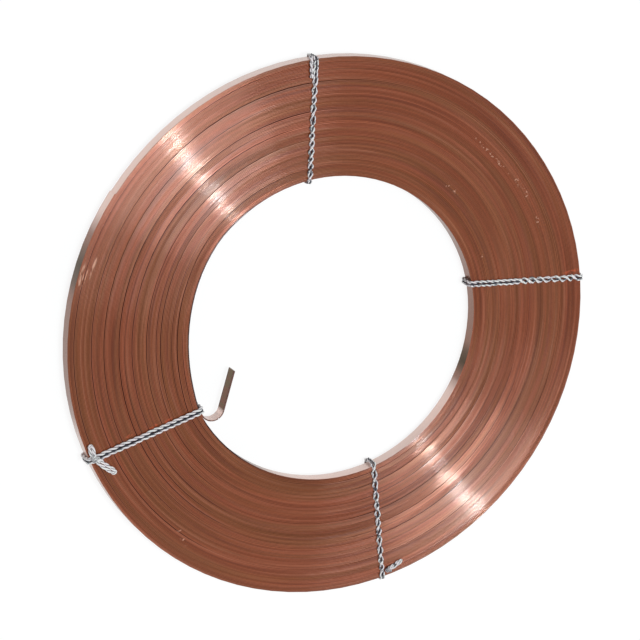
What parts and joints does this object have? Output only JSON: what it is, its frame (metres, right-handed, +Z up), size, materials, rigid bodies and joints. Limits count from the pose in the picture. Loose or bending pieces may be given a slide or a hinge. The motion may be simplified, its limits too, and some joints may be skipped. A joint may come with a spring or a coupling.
{
  "type": "coil of flat enamelled copper wire",
  "caption": "Flat enamelled copper wire wound on edge into a pancake coil with an open eye, its turns held together by tied cords and its inner end bent into the eye.",
  "frame": {"origin": "on the coil's axis, on the floor under the cord ties", "axes": "+Z up along the coil's axis, +X towards the tie beside the wire's inner end"},
  "size_m": [0.5345, 0.5299, 0.0239],
  "materials": {
    "enamelled_copper": "satin",
    "cotton_cord": "matte"
  },
  "bodies": {
    "root": {"wire_coil": "enamelled_copper", "tie_1": "cotton_cord", "tie_2": "cotton_cord", "tie_3": "cotton_cord", "tie_4": "cotton_cord"}
  },
  "joints": []
}
